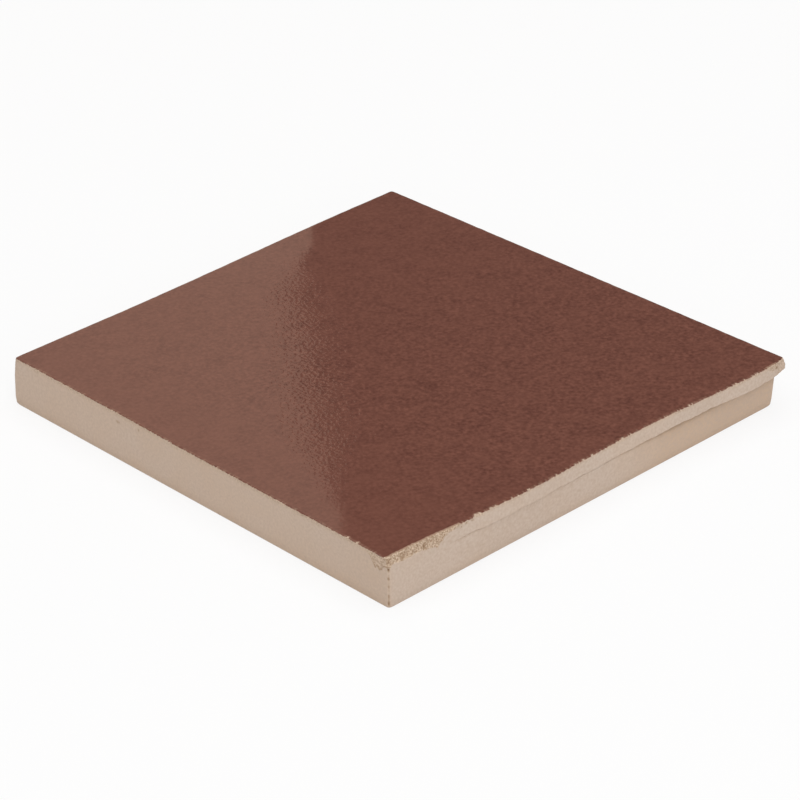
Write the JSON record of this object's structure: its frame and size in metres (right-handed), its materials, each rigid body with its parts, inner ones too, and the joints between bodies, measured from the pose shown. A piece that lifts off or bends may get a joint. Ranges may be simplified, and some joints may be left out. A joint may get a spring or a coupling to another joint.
{
  "type": "ceramic wall tile",
  "caption": "Square ceramic wall tile with a glossy brown glazed face, a bare pale body, a stepped lip that overhangs at one corner, and a shallow keyed back for adhesive.",
  "frame": {"origin": "centre of the back face, in the plane of its rim and ribs", "axes": "+Z out of the glazed face; +X and +Y along the sides of the square body, with the overhanging corner of the lip at +X, -Y"},
  "size_m": [0.102, 0.1028, 0.0099],
  "materials": {
    "glazed_ceramic": "glossy reddish-brown glaze on the face, bare pale beige fired body on the sides and back"
  },
  "bodies": {
    "root": {"tile": "glazed_ceramic"}
  },
  "joints": []
}
